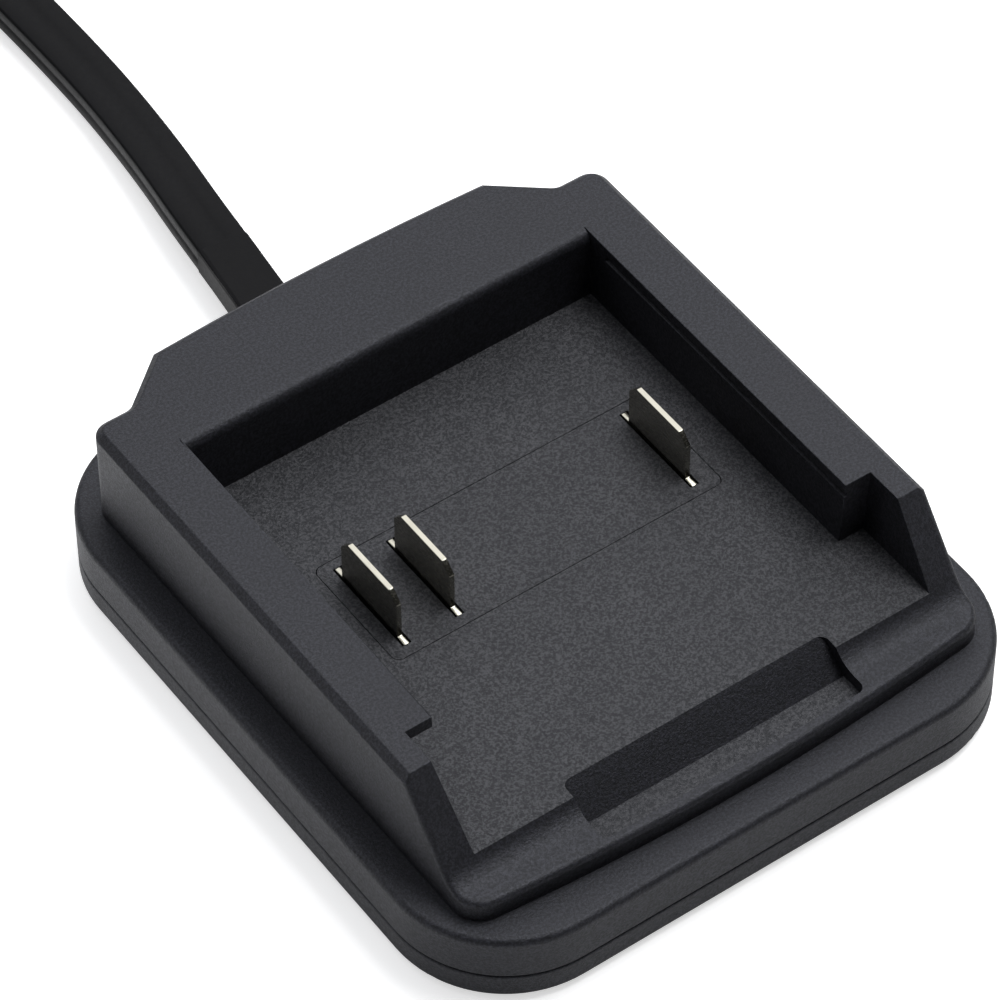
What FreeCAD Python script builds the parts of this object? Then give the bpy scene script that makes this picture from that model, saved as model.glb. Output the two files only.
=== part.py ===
import FreeCAD, Part
import math
import os

V = FreeCAD.Vector

# Battery adapter cable: a charging cradle with an open-fronted battery bay and three
# contact blades, a two-piece base under it, and a flat cord that ends in a small plug.
# Millimetres, X across the bay, Y from the open front to the cord, Z up.
# The origin is the middle of the base's footprint, on the surface that it stands on.

# Base: a lower cover and an upper shell with one outline
base_width = 68.8
base_depth = 77.2
base_corner_radius = 12.8
foot_proud = 0.6
cover_height = 3.1
shell_height = 5.3
base_wall = 2.0
cover_floor = 1.4
shell_plate = 1.8
shell_edge_radius = 0.8
cover_edge_radius = 0.7
parting_groove = 0.2
tongue_height = 1.0
tongue_thickness = 0.9
tongue_clearance = 0.1
tongue_root = 0.5

# Tray: the moulding that the battery slides into
tray_width = 61.6
tray_height = 12.0
tray_floor = 4.0
tray_front_margin = 3.85
tray_rear_from_front = 71.45
tray_front_bow_radius = 270.0
tray_rear_bow_radius = 360.0
tray_front_corner_radius = 3.2
tray_front_edge_radius = 0.7
tray_edge_chamfer = 0.8
ear_inset = 5.35
ear_corner_radius = 2.0
shoulder_half_width = 25.85
shoulder_blend_radius = 1.6
rear_half_width = 19.3
rear_corner_radius = 1.2
pilot_roof = 0.9

# Bay: the open-fronted recess, drafted, with a wider mouth and a sloped lip
lip_depth = 6.25
lip_drop = 1.5
lip_cove_radius = 3.9
slope_run = 6.15
bay_width_floor = 48.1
bay_width_top = 48.9
bay_length_floor = 51.4
bay_length_top = 52.1
bay_rear_edge_radius = 1.25
mouth_width_floor = 54.1
mouth_width_top = 55.0
mouth_length = 10.4
rail_depth = 0.25
rail_height = 0.6
rail_below_top = 1.1
rail_stop = 2.0
key_slot_depth = 2.8
key_lip_thickness = 1.55

# Coring under the bay floor, as distances from the bay's front and from the middle
recess_rows = ((6.0, 19.5), (41.5, 50.0))
recess_columns = ((-14.5, -5.5), (-4.5, 4.5), (5.5, 14.5))
recess_depth = 2.0

# Latch pocket in the floor's front edge and the lip
pocket_width = 31.2
pocket_rear = 2.1
pocket_ramp_length = 3.4
pocket_ramp_drop = 3.1
pocket_strip_step = 0.15
pocket_front = -4.85
pocket_corner_radius = 1.0
pocket_front_corner_radius = 0.9

# Contact block and its three blades
block_width = 39.4
block_depth = 14.2
block_front = 23.2
block_corner_radius = 0.9
block_flange = 1.3
block_flange_height = 1.4
block_clearance = 0.08
blade_names = ("positive", "sense", "negative")
blades_from_left = (2.1, 8.35)
blade_from_right = 2.65
blade_thickness = 0.6
blade_front = 24.5
blade_length = 11.8
blade_shoulder = 1.2
blade_height = 5.85
blade_chamfer = 1.25
blade_seat_depth = 3.0
blade_tail_width = 3.2
blade_tail_below_board = 0.7
slot_clearance = 0.05
block_nose_clearance = 0.4

# Circuit board under the contact block
board_thickness = 1.0
board_below_plate = 0.6
board_corner_radius = 1.0
board_width = 38.0
board_front = -6.0
board_rear = 12.5
board_hole_clearance = 0.1
stake_diameter = 1.8
stake_head_diameter = 3.0
stake_head_height = 0.5
stake_places = ((-4.0, 2.0), (10.0, 2.0))
solder_diameter = 2.4
solder_beyond_tail = 1.4
solder_share_of_tail = 0.8
component_chamfer = 0.08
fuse_size = (3.2, 1.6, 0.6)
fuse_place = (-7.5, 7.5)
resistor_size = (2.0, 1.25, 0.5)
resistor_place = (3.0, 6.5)

# Screws, given as shank diameter, head diameter and head height
cover_screw = (2.6, 4.6, 1.4)
cover_screw_length = 6.4
cover_screw_inset = 8.4
tray_screw = (2.4, 4.4, 1.2)
tray_screw_length = 4.6
tray_screw_places = ((-19.0, -21.5), (19.0, -21.5), (-19.0, 17.5), (19.0, 17.5))
clamp_screw = (1.8, 3.4, 0.8)
clamp_screw_length = 4.0
screw_clearance = 0.15
screw_seat_gap = 0.1
screw_head_chamfer = 0.2
screw_tip_chamfer = 0.4
boss_wall = 2.0
drive_width = 0.5
drive_share = 0.62
drive_depth_share = 0.5

# Rubber feet, set in shallow seats of the cover
foot_diameter = 8.0
foot_recess = 0.5
foot_pad_height = 0.8
foot_clearance = 0.1
foot_edge_radius = 0.3
foot_insets = (9.9, 21.6)

# Cord: a flat two-core flex, its inner end and its strain relief
cord_width = 5.7
cord_height = 3.4
cord_corner_radius = 0.3
cord_rest = 0.5
cord_above_parting = 0.3
cord_inner_end = 22.0
relief_flange = (9.6, 3.8, 1.8)
relief_neck = (6.9, 3.8)
relief_root = (7.4, 4.6)
relief_tip = (5.95, 3.65)
relief_corner_radius = 0.6
relief_collar = 5.0
relief_length = 18.4
relief_slope = 0.104
relief_clearance = 0.05
relief_room = 0.5
passage_overrun = 1.0
clamp_size = (17.0, 5.0, 1.2)
clamp_corner_radius = 0.8
clamp_place = 29.0
clamp_screw_spread = 5.6
post_wall = 1.2
post_floor = 0.3
saddle_width = 6.0
lead_diameter = 1.3
lead_spread = 1.35
lead_pad_spread = 6.5
lead_straight = 3.2
lead_reach = 8.4
lead_on_board = 2.5

# The free cord's line before the coil: falling points in full, then points on the floor
cord_lead_out = 6.3
cord_falling = ((3.55, 72.6, 3.25), (4.75, 83.5, 2.35))
cord_lying = ((5.0, 92.0), (4.9, 101.5))
cord_before_coil = 12.0

# Cord's coil: two layers of turns, put away behind the cradle
coil_centre = (-29.0, 131.0)
coil_radius = 33.6
coil_turns = 3.5
coil_gap = 0.5
coil_steps_per_turn = 8
coil_lead_in = 6.0
coil_lead_out = 20.0
coil_climb_turns = 0.25
coil_step_in = 1.8
coil_step_turns = 0.25
tie_width = 4.0
tie_thickness = 0.4
tie_clearance = 0.05
tie_angle = 100.0

# Plug on the far end: a straight barrel plug
plug_relief_length = 14.0
plug_relief_tip = (6.4, 4.6)
plug_relief_root = (8.6, 7.4)
plug_relief_radii = (1.3, 1.8)
plug_notch_shares = (0.3, 0.5, 0.7)
plug_notch_width = 1.0
plug_notch_depth = 1.3
plug_body_diameter = 10.2
plug_body_length = 18.0
plug_body_edge_radius = 0.8
plug_grips = 5
plug_grip_start = 4.0
plug_grip_pitch = 2.2
plug_grip_overrun = 0.5
plug_grip_depth = 0.7
plug_grip_width = 1.2
plug_barrel_diameter = 5.5
plug_barrel_bore = 4.5
plug_barrel_length = 9.5
plug_contact_diameter = 3.0
plug_bore = 2.1
plug_insulator_recess = 0.8
plug_contact_floor = 1.0



def four_places(x, y):
    """The same place in each of the four corners."""
    return ((-x, -y), (x, -y), (-x, y), (x, y))


# Levels and lines that follow from the sizes above
cover_bottom = foot_proud
parting = cover_bottom + cover_height
shell_top = parting + shell_height
plate_bottom = shell_top - shell_plate
floor_level = shell_top + tray_floor
tray_top = shell_top + tray_height
half_width = base_width / 2
half_depth = base_depth / 2
cover_inside = cover_bottom + cover_floor
cover_screw_places = four_places(half_width - cover_screw_inset, half_depth - cover_screw_inset)
foot_places = four_places(half_width - foot_insets[0], half_depth - foot_insets[1])
blade_places = (*[inset - block_width / 2 for inset in blades_from_left],
                block_width / 2 - blade_from_right)
tray_front = -half_depth + tray_front_margin
bay_front = tray_front + lip_depth
tray_rear = tray_front + tray_rear_from_front
ear_rear = tray_rear - ear_inset
block_bottom = shell_top
board_top = plate_bottom - board_below_plate
board_bottom = board_top - board_thickness
tail_tip = board_bottom - blade_tail_below_board
window_width = block_width - 2 * block_flange
window_depth = block_depth - 2 * block_flange
block_middle = bay_front + block_front + block_depth / 2
cord_axis = parting + cord_above_parting
clamp_bottom = cord_axis + cord_height / 2
cord_lie = cord_rest + cord_height / 2
coil_pitch = cord_width + coil_gap
coil_rise = cord_height + coil_gap
coil_top_lie = cord_lie + coil_rise


def save(shape, name):
    shape.exportStep(os.path.join("parts", name + ".step"))
    if not shape.isValid() or len(shape.Solids) != 1:
        print("CHECK", name, "valid", shape.isValid(), "solids", len(shape.Solids))


def box(x0, x1, y0, y1, z0, z1):
    return Part.makeBox(x1 - x0, y1 - y0, z1 - z0, V(x0, y0, z0))


def cylinder(x, y, z0, z1, diameter):
    return Part.makeCylinder(diameter / 2, z1 - z0, V(x, y, z0))


def rounded_wire(points, radii, z):
    """A closed wire at height z through the corner points, each rounded by its radius."""
    corners = []
    count = len(points)
    for i in range(count):
        corner = V(*points[i], 0)
        before = (V(*points[i - 1], 0) - corner).normalize()
        after = (V(*points[(i + 1) % count], 0) - corner).normalize()
        half = before.getAngle(after) / 2
        reach = radii[i] / math.tan(half)
        start = corner + before * reach
        end = corner + after * reach
        middle = corner + (before + after).normalize() * radii[i] * (1 / math.sin(half) - 1)
        corners.append((start, middle, end))
    made = []
    for i, (start, middle, end) in enumerate(corners):
        following = corners[(i + 1) % count][0]
        if (end - start).Length > 1e-6:
            made.append(Part.Arc(start, middle, end).toShape())
        made.append(Part.LineSegment(end, following).toShape())
    wire = Part.Wire(made)
    wire.translate(V(0, 0, z))
    return wire


def prism(wire, height):
    return Part.Face(wire).extrude(V(0, 0, height))


def rectangle(x0, x1, y0, y1, radius, z):
    points = [(x0, y0), (x1, y0), (x1, y1), (x0, y1)]
    return rounded_wire(points, [radius] * 4, z)


def slab(x0, x1, y0, y1, z0, z1, radius):
    return prism(rectangle(x0, x1, y0, y1, radius, z0), z1 - z0)


def base_slab(inset, z0, z1):
    x, y = half_width - inset, half_depth - inset
    return slab(-x, x, -y, y, z0, z1, base_corner_radius - inset)


def loft(*wires):
    return Part.makeLoft(list(wires), True, True)


def profile_prism(points, x0, x1):
    """A solid from x0 to x1 whose outline is given as (y, z) points."""
    wire = Part.makePolygon([V(x0, y, z) for y, z in points + points[:1]])
    return Part.Face(wire).extrude(V(x1 - x0, 0, 0))


def edges_where(shape, test):
    """The edges whose every vertex and whose middle pass the test."""
    found = []
    for edge in shape.Edges:
        middle = edge.valueAt((edge.FirstParameter + edge.LastParameter) / 2)
        if all(test(p) for p in [v.Point for v in edge.Vertexes] + [middle]):
            found.append(edge)
    return found


def near(value, target, slack=0.02):
    return abs(value - target) < slack


# Base


def base_cover():
    """The lower cover: a shallow pan with screw bosses, foot pads, cord posts and a tongue."""
    body = base_slab(0, cover_bottom, parting)
    bottom_edges = edges_where(body, lambda p: near(p.z, cover_bottom))
    body = body.makeFillet(cover_edge_radius, bottom_edges)
    top_edges = edges_where(body, lambda p: near(p.z, parting))
    body = body.makeChamfer(parting_groove, top_edges)
    tongue_inset = base_wall - tongue_thickness
    tongue = base_slab(tongue_inset, parting - tongue_root, parting + tongue_height)
    body = body.fuse(tongue)
    body = body.cut(base_slab(base_wall, cover_inside, parting + tongue_height))
    shank, head, head_height = cover_screw
    for x, y in cover_screw_places:
        body = body.fuse(cylinder(x, y, cover_inside, parting, head + 2 * boss_wall))
    for x, y in foot_places:
        pad = foot_diameter + 2 * boss_wall
        body = body.fuse(cylinder(x, y, cover_inside, cover_inside + foot_pad_height, pad))
    saddle = saddle_width / 2
    depth = clamp_size[1] / 2
    body = body.fuse(box(-saddle, saddle, clamp_place - depth, clamp_place + depth,
                         cover_inside, cord_axis - cord_height / 2))
    for side in (-1, 1):
        post = clamp_screw[0] + 2 * post_wall
        body = body.fuse(cylinder(side * clamp_screw_spread, clamp_place, cover_inside, clamp_bottom, post))
    body = body.cut(cord_passage())
    for x, y in cover_screw_places:
        seat = cylinder(x, y, cover_bottom, cover_bottom + head_height + screw_seat_gap,
                        head + 2 * screw_clearance)
        hole = cylinder(x, y, cover_bottom, parting, shank + 2 * screw_clearance)
        body = body.cut(seat.fuse(hole))
    for x, y in foot_places:
        seat = cylinder(x, y, cover_bottom, cover_bottom + foot_recess, foot_diameter + 2 * foot_clearance)
        body = body.cut(seat)
    for side in (-1, 1):
        pilot = cylinder(side * clamp_screw_spread, clamp_place, cover_inside + post_floor,
                         clamp_bottom, clamp_screw[0])
        body = body.cut(pilot)
    return body.removeSplitter()


def cord_passage():
    """The slot in the rear wall that holds the strain relief's neck and flange."""
    neck_w, neck_h = (size + 2 * relief_clearance for size in relief_neck)
    flange_w, flange_h, flange_t = relief_flange
    wall_inside = half_depth - base_wall
    neck = box(-neck_w / 2, neck_w / 2, wall_inside - passage_overrun, half_depth + passage_overrun,
               cord_axis - neck_h / 2, cord_axis + neck_h / 2)
    room = box(-flange_w / 2 - relief_clearance, flange_w / 2 + relief_clearance,
               wall_inside - flange_t - relief_room, wall_inside,
               cord_axis - flange_h / 2 - relief_clearance, cord_axis + flange_h / 2 + relief_clearance)
    return neck.fuse(room)


def base_shell():
    """The upper shell: walls, a top plate with the contact window, and screw bosses."""
    body = base_slab(0, parting, shell_top)
    body = body.makeFillet(shell_edge_radius, edges_where(body, lambda p: near(p.z, shell_top)))
    body = body.makeChamfer(parting_groove, edges_where(body, lambda p: near(p.z, parting)))
    body = body.cut(base_slab(base_wall, parting, plate_bottom))
    rabbet_inset = base_wall - tongue_thickness - tongue_clearance
    rabbet = base_slab(rabbet_inset, parting, parting + tongue_height + tongue_clearance)
    body = body.cut(rabbet)
    shank, head, head_height = cover_screw
    for x, y in cover_screw_places:
        body = body.fuse(cylinder(x, y, parting, plate_bottom, shank + 2 * boss_wall))
        body = body.cut(cylinder(x, y, parting, shell_top - 1.0, shank))
    for x, y in tray_screw_places:
        body = body.cut(cylinder(x, y, plate_bottom, shell_top, tray_screw[0] + 2 * screw_clearance))
    body = body.cut(block_window(0.0))
    return body.cut(cord_passage()).removeSplitter()


def block_window(inset):
    """The opening in the shell's plate under the contact block."""
    x, y = window_width / 2 - inset, window_depth / 2 - inset
    return slab(-x, x, block_middle - y, block_middle + y, plate_bottom - 1, shell_top + 1,
                block_corner_radius)


def foot(place):
    x, y = place
    pad = cylinder(x, y, 0, cover_bottom + foot_recess, foot_diameter)
    return pad.makeFillet(foot_edge_radius, edges_where(pad, lambda p: near(p.z, 0)))


def screw(place, bottom, size, length):
    """A screw pointing up, its head's underside face first, with a cross recess."""
    x, y = place
    shank, head, head_height = size
    body = cylinder(x, y, bottom, bottom + head_height, head)
    body = body.makeChamfer(screw_head_chamfer, edges_where(body, lambda p: near(p.z, bottom)))
    thread = cylinder(x, y, bottom + head_height, bottom + head_height + length, shank)
    tip = bottom + head_height + length
    thread = thread.makeChamfer(screw_tip_chamfer, edges_where(thread, lambda p: near(p.z, tip)))
    reach, depth = head * drive_share / 2, head_height * drive_depth_share
    recess = box(x - reach, x + reach, y - drive_width / 2, y + drive_width / 2, bottom, bottom + depth)
    recess = recess.fuse(
        box(x - drive_width / 2, x + drive_width / 2, y - reach, y + reach, bottom, bottom + depth))
    return body.fuse(thread).cut(recess).removeSplitter()


# Tray


def tray_outline():
    """The tray's plan as a prism: bowed front and rear, rear ears, a narrower raised back."""
    side = tray_width / 2
    plan = [
        (-side, tray_front), (side, tray_front), (side, ear_rear),
        (shoulder_half_width, ear_rear), (rear_half_width, tray_rear),
        (-rear_half_width, tray_rear), (-shoulder_half_width, ear_rear), (-side, ear_rear),
    ]
    radii = [0, 0, ear_corner_radius,
             shoulder_blend_radius, rear_corner_radius, rear_corner_radius,
             shoulder_blend_radius, ear_corner_radius]
    body = prism(rounded_wire(plan, radii, shell_top), tray_height)
    front_middle = tray_front + tray_front_bow_radius
    rear_middle = tray_rear - tray_rear_bow_radius
    for middle, radius in ((front_middle, tray_front_bow_radius), (rear_middle, tray_rear_bow_radius)):
        body = body.common(cylinder(0, middle, shell_top - 1, tray_top + 1, 2 * radius))
    corners = edges_where(body, lambda p: near(abs(p.x), side) and p.y < bay_front)
    corners = [edge for edge in corners if edge.Vertexes[0].Point.y == edge.Vertexes[-1].Point.y]
    return body.makeFillet(tray_front_corner_radius, corners)


def mouth_cutter():
    """What is cut off the front: the walls' slope, the cove under the floor and the lip."""
    side = tray_width
    top_y, top_z = bay_front + slope_run, tray_top
    slope = math.atan2(tray_height - tray_floor, slope_run)
    lip_level = floor_level - lip_drop
    centre_y = bay_front - lip_cove_radius * math.sin(slope)
    centre_z = floor_level + lip_cove_radius * math.cos(slope)
    cove_end = V(-side, centre_y, lip_level)
    cove_start = V(-side, bay_front, floor_level)
    sag = slope / 2
    bend = math.sqrt((centre_y - bay_front) ** 2 + (centre_z - floor_level) ** 2)
    cove_middle = V(-side, centre_y + bend * math.sin(sag), centre_z - bend * math.cos(sag))
    lead = [V(-side, top_y, top_z), cove_start]
    edges = [
        Part.LineSegment(*lead).toShape(),
        Part.Arc(cove_start, cove_middle, cove_end).toShape(),
    ]
    rest = [cove_end, V(-side, tray_front - 5, lip_level), V(-side, tray_front - 5, top_z + 5),
            V(-side, top_y, top_z + 5), lead[0]]
    edges += [Part.LineSegment(a, b).toShape() for a, b in zip(rest, rest[1:])]
    return Part.Face(Part.Wire(edges)).extrude(V(2 * side, 0, 0))


def drafted_bay(width_floor, width_top, y0_floor, y0_top, y1_floor, y1_top):
    """A pocket from the floor up through the top, wider at the top."""
    floor = rectangle(-width_floor / 2, width_floor / 2, y0_floor, y1_floor, 0, floor_level)
    top = rectangle(-width_top / 2, width_top / 2, y0_top, y1_top, 0, tray_top)
    cap = rectangle(-width_top / 2, width_top / 2, y0_top, y1_top, 0, tray_top + 1)
    return loft(floor, top).fuse(loft(top, cap))


def latch_pocket():
    """The pocket for the battery's latch: a ramp down from the floor to a level strip."""
    reach = pocket_width / 2
    rear, front = bay_front + pocket_rear, bay_front + pocket_front
    low = floor_level - pocket_ramp_drop
    foot = rear - pocket_ramp_length
    points = [
        (rear, floor_level), (foot, low), (foot - pocket_strip_step, low + pocket_strip_step),
        (front, low + pocket_strip_step), (front, floor_level + 1), (rear, floor_level + 1),
    ]
    body = profile_prism(points, -reach, reach)
    for y, radius in ((rear, pocket_corner_radius), (front, pocket_front_corner_radius)):
        upright = edges_where(body, lambda p: near(p.y, y) and near(abs(p.x), reach))
        body = body.makeFillet(radius, upright)
    return body


def battery_tray():
    body = tray_outline()
    body = body.makeChamfer(tray_edge_chamfer, edges_where(body, lambda p: near(p.z, tray_top)))
    body = body.cut(mouth_cutter())
    lip_level = floor_level - lip_drop
    outer_edges = [e for e in edges_where(body, lambda p: near(p.z, lip_level))
                   if min(v.Point.y for v in e.Vertexes) < bay_front - lip_cove_radius]
    body = body.makeFillet(tray_front_edge_radius, outer_edges)
    bay_rear = bay_front + bay_length_top
    bay = drafted_bay(bay_width_floor, bay_width_top, bay_front - 1, bay_front - 1,
                      bay_front + bay_length_floor, bay_rear)
    mouth = drafted_bay(mouth_width_floor, mouth_width_top, bay_front - 1, bay_front - 1,
                        bay_front + mouth_length, bay_front + mouth_length)
    body = body.cut(bay).cut(mouth)
    rear_edge = edges_where(body, lambda p: near(p.z, tray_top) and near(p.y, bay_rear))
    body = body.makeFillet(bay_rear_edge_radius, rear_edge)
    body = body.cut(latch_pocket())
    rail_front, rail_rear = bay_front + mouth_length, bay_front + bay_length_floor - rail_stop
    groove_top = tray_top - rail_below_top
    body = body.cut(box(0, bay_width_top / 2 + rail_depth, rail_front, rail_rear,
                        groove_top - rail_height, groove_top))
    # The left rail is a thin lip over a slot for the battery's key, open to the mouth
    body = body.cut(box(-bay_width_floor / 2 - key_slot_depth, 0, rail_front - 0.5 * key_slot_depth,
                        rail_rear, floor_level, tray_top - key_lip_thickness))
    body = body.cut(block_seat())
    body = body.cut(underside_recesses())
    for x, y in tray_screw_places:
        body = body.cut(cylinder(x, y, shell_top, floor_level - pilot_roof, tray_screw[0]))
    return body.removeSplitter()


def block_seat():
    """The window for the contact block and the step that its flange sits in."""
    x = block_width / 2 + block_clearance
    y = block_depth / 2 + block_clearance
    window = slab(-x, x, block_middle - y, block_middle + y, shell_top - 1, floor_level + 1,
                  block_corner_radius)
    step_top = shell_top + block_flange_height + block_clearance
    x, y = x + block_flange, y + block_flange
    step = slab(-x, x, block_middle - y, block_middle + y, shell_top - 1, step_top, block_corner_radius)
    return window.fuse(step)


def underside_recesses():
    """Shallow coring under the bay floor, in rows either side of the contact block."""
    cells = [box(x0, x1, bay_front + y0, bay_front + y1, shell_top - 1, shell_top + recess_depth)
             for y0, y1 in recess_rows for x0, x1 in recess_columns]
    return cells[0].fuse(cells[1:])


# Contacts and circuit board


def blade_profile(grow):
    """The blade's (y, z) outline: a chamfered upright plate on a wider foot, with a tail."""
    front = bay_front + blade_front
    rear = front + blade_length
    up_front, up_rear = front + blade_shoulder, rear - blade_shoulder
    top = floor_level + blade_height
    seat = floor_level - blade_seat_depth
    middle = (front + rear) / 2
    tail = blade_tail_width / 2
    return [
        (front - grow, floor_level), (up_front, floor_level), (up_front, top - blade_chamfer),
        (up_front + blade_chamfer, top), (up_rear - blade_chamfer, top),
        (up_rear, top - blade_chamfer), (up_rear, floor_level), (rear + grow, floor_level),
        (rear + grow, seat - grow), (middle + tail + grow, seat - grow),
        (middle + tail + grow, tail_tip), (middle - tail - grow, tail_tip),
        (middle - tail - grow, seat - grow), (front - grow, seat - grow),
    ]


def contact_blade(x):
    half = blade_thickness / 2
    return profile_prism(blade_profile(0.0), x - half, x + half)


def blade_slot(x):
    half = blade_thickness / 2 + slot_clearance
    return profile_prism(blade_profile(slot_clearance), x - half, x + half)


def contact_block():
    x, y = block_width / 2, block_depth / 2
    body = slab(-x, x, block_middle - y, block_middle + y, block_bottom, floor_level,
                block_corner_radius)
    body = body.fuse(slab(-x - block_flange, x + block_flange, block_middle - y - block_flange,
                          block_middle + y + block_flange, block_bottom,
                          block_bottom + block_flange_height, block_corner_radius))
    x = window_width / 2 - block_nose_clearance
    y = window_depth / 2 - block_nose_clearance
    body = body.fuse(slab(-x, x, block_middle - y, block_middle + y, board_top, block_bottom,
                          block_corner_radius))
    for px, py in stake_places:
        body = body.fuse(cylinder(px, py, board_bottom, board_top, stake_diameter))
        head_bottom = board_bottom - stake_head_height
        body = body.fuse(cylinder(px, py, head_bottom, board_bottom, stake_head_diameter))
    for x in blade_places:
        body = body.cut(blade_slot(x))
    return body.removeSplitter()


def blade_middle():
    return bay_front + blade_front + blade_length / 2


def circuit_board():
    half = board_width / 2
    board = slab(-half, half, board_front, board_rear, board_bottom, board_top, board_corner_radius)
    for x, y in stake_places:
        board = board.cut(cylinder(x, y, board_bottom, board_top, stake_diameter))
    tail = blade_tail_width / 2 + board_hole_clearance
    side = blade_thickness / 2 + board_hole_clearance
    for x in blade_places:
        board = board.cut(box(x - side, x + side, blade_middle() - tail, blade_middle() + tail,
                              board_bottom, board_top))
    return board


def solder_joint(x):
    """A low cone of solder under the board, round the blade's tail."""
    low = board_bottom - blade_tail_below_board * solder_share_of_tail
    cone = Part.makeCone(solder_diameter / 4, solder_diameter / 2, board_bottom - low, V(0, 0, low))
    stretch = FreeCAD.Matrix()
    stretch.scale(1.0, (blade_tail_width + solder_beyond_tail) / solder_diameter, 1.0)
    cone = cone.transformGeometry(stretch)
    cone.translate(V(x, blade_middle(), 0))
    return cone.cut(contact_blade(x))


def component(size, place):
    """A small part soldered under the board."""
    (length, width, height), (x, y) = size, place
    body = box(x - length / 2, x + length / 2, y - width / 2, y + width / 2,
               board_bottom - height, board_bottom)
    lower = edges_where(body, lambda p: near(p.z, board_bottom - height))
    return body.makeChamfer(component_chamfer, lower)


# Cord


def section(width, height, radius, centre, direction):
    """A flat rounded section across a path at its centre."""
    corners = [(-width / 2, -height / 2), (width / 2, -height / 2),
               (width / 2, height / 2), (-width / 2, height / 2)]
    wire = rounded_wire(corners, [radius] * 4, 0)
    side = direction.cross(V(0, 0, 1)).normalize()
    up = side.cross(direction).normalize()
    turn = FreeCAD.Matrix(side.x, up.x, -direction.x, centre.x,
                          side.y, up.y, -direction.y, centre.y,
                          side.z, up.z, -direction.z, centre.z,
                          0, 0, 0, 1)
    return wire.transformGeometry(turn)


def tangent_path(points, name):
    """Straight runs joined by arcs as large as the runs allow, and the least radius."""
    edges = []
    start = points[0]
    least = 1e9
    for before, corner, after in zip(points, points[1:], points[2:]):
        back, ahead = (before - corner), (after - corner)
        shorter = min(back.Length, ahead.Length)
        back.normalize()
        ahead.normalize()
        half_turn = (math.pi - back.getAngle(ahead)) / 2
        reach = 0.45 * shorter
        radius = reach / math.tan(half_turn)
        least = min(least, radius)
        enter, leave = corner + back * reach, corner + ahead * reach
        bisector = (back + ahead).normalize()
        middle = corner + bisector * radius * (1 / math.cos(half_turn) - 1)
        edges.append(Part.LineSegment(start, enter).toShape())
        edges.append(Part.Arc(enter, middle, leave).toShape())
        start = leave
    edges.append(Part.LineSegment(start, points[-1]).toShape())
    path = Part.Wire(edges)
    print(name, "length", round(path.Length, 1), "least radius", round(least, 1))
    return path


def tube(path, profile, name, area):
    shape = path.makePipeShell([profile], True, False)
    ratio = shape.Volume / (area * path.Length)
    print(name, "volume over section times length", round(ratio, 4))
    return shape


def flat_area():
    return cord_width * cord_height - (4 - math.pi) * cord_corner_radius ** 2


def cord_section(centre, direction):
    return section(cord_width, cord_height, cord_corner_radius, centre, direction)


def relief_direction():
    return V(relief_slope, 1, 0).normalize()


def relief_bend():
    return V(0, half_depth + relief_collar, cord_axis)


def relief_end():
    return relief_bend() + relief_direction() * (relief_length - relief_collar)


def strain_relief():
    """The moulded sleeve: a flange and a neck held by the base, then a tapered boot."""
    wall_inside = half_depth - base_wall
    flange_w, flange_h, flange_t = relief_flange
    body = box(-flange_w / 2, flange_w / 2, wall_inside - flange_t, wall_inside,
               cord_axis - flange_h / 2, cord_axis + flange_h / 2)
    neck_w, neck_h = relief_neck
    body = body.fuse(box(-neck_w / 2, neck_w / 2, wall_inside, half_depth,
                         cord_axis - neck_h / 2, cord_axis + neck_h / 2))
    axis = V(0, 1, 0)
    root = V(0, half_depth, cord_axis)
    share = relief_collar / relief_length
    waist = [a + (b - a) * share for a, b in zip(relief_root, relief_tip)]
    start = section(*relief_root, relief_corner_radius, root, axis)
    bend = section(*waist, relief_corner_radius, relief_bend(), relief_direction())
    tip = section(*relief_tip, relief_corner_radius, relief_end(), relief_direction())
    return body.fuse(loft(start, bend)).fuse(loft(bend, tip)).removeSplitter()


def cord_inner():
    """The cord's end inside the base, from the strain relief's flange to the leads."""
    start = V(0, cord_inner_end, cord_axis)
    length = half_depth - base_wall - relief_flange[2] - cord_inner_end
    return Part.Face(cord_section(start, V(0, 1, 0))).extrude(V(0, length, 0))


def cord_route():
    """The free stretch, point by point, from the strain relief to the coil."""
    start = relief_end()
    coil_start = V(coil_centre[0] + coil_radius, coil_centre[1] - coil_lead_in, cord_lie)
    return [
        start,
        start + relief_direction() * cord_lead_out,
        *(V(*point) for point in cord_falling),
        *(V(*point, cord_lie) for point in cord_lying),
        coil_start - V(0, cord_before_coil, 0),
        coil_start,
    ]


def cord():
    route = cord_route()
    path = tangent_path(route, "cord")
    return tube(path, cord_section(route[0], relief_direction()), "cord", flat_area())


def coil_point(turn):
    """The coil's line after so many turns: in on the lower layer, out on the upper.

    The climb from layer to layer is where the spiral reverses, a step further in.
    """
    half = coil_turns / 2
    from_middle = abs(turn - half)
    flat_part = coil_climb_turns / 2
    step = smooth(1 - (from_middle - flat_part) / coil_step_turns)
    radius = coil_radius - coil_pitch * (half - from_middle) - coil_step_in * step
    climb = smooth((turn - half + flat_part) / coil_climb_turns)
    angle = 2 * math.pi * turn
    return V(coil_centre[0] + radius * math.cos(angle), coil_centre[1] + radius * math.sin(angle),
             cord_lie + coil_rise * climb)


def smooth(share):
    """An even rise from 0 to 1 that starts and ends level."""
    share = min(max(share, 0.0), 1.0)
    return share * share * (3 - 2 * share)


def coil_tangent(turn):
    """The coil's direction, straight along Y at both of its ends."""
    if turn <= 0:
        return V(0, 1, 0)
    if turn >= coil_turns:
        return V(0, -1, 0)
    return (coil_point(turn + 0.001) - coil_point(turn - 0.001)).normalize()


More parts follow.
